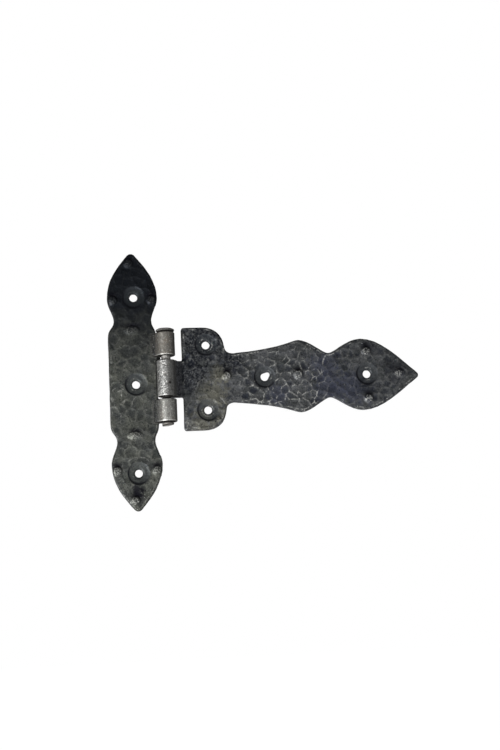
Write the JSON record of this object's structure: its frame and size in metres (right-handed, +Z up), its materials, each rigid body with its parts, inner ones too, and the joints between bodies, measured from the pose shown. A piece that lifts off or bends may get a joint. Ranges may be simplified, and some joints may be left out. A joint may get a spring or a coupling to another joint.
{
  "type": "tee hinge",
  "caption": "Hammered iron tee hinge: a spear-ended frame leaf and a winged, tapering strap leaf that turn about a riveted pin, with dished screw holes.",
  "frame": {"origin": "on the wall face of the frame leaf, level with the middle of the barrel and 11 mm to the frame's side of the pin axis", "axes": "+Z up along the pin, +X along the strap from the frame leaf to the strap's point, +Y into the wall or door; the hammered fronts face -Y"},
  "size_m": [0.2018, 0.0122, 0.168],
  "materials": {
    "blackened_iron": "hammered, blackened and waxed, worn bright along the edges and ridges",
    "bare_steel": "bare, dull grey with fine pits and specks",
    "pin_steel": "bare, dull grey, dark in the corners"
  },
  "bodies": {
    "frame": {"frame_leaf": "blackened_iron", "frame_knuckle_upper": "bare_steel", "frame_knuckle_lower": "bare_steel"},
    "strap": {"strap_leaf": "blackened_iron", "strap_knuckle": "bare_steel"},
    "pin": {"hinge_pin": "pin_steel"}
  },
  "joints": [
    {"name": "strap_swing", "type": "hinge", "parent": "frame", "child": "strap", "pos_m": [0.011, -0.0061, 0], "axis": [0, 0, -1], "range_deg": [-80, 180]},
    {"name": "pin_turn", "type": "hinge", "parent": "frame", "child": "pin", "pos_m": [0.011, -0.0061, 0], "axis": [0, 0, 1], "continuous": true}
  ]
}
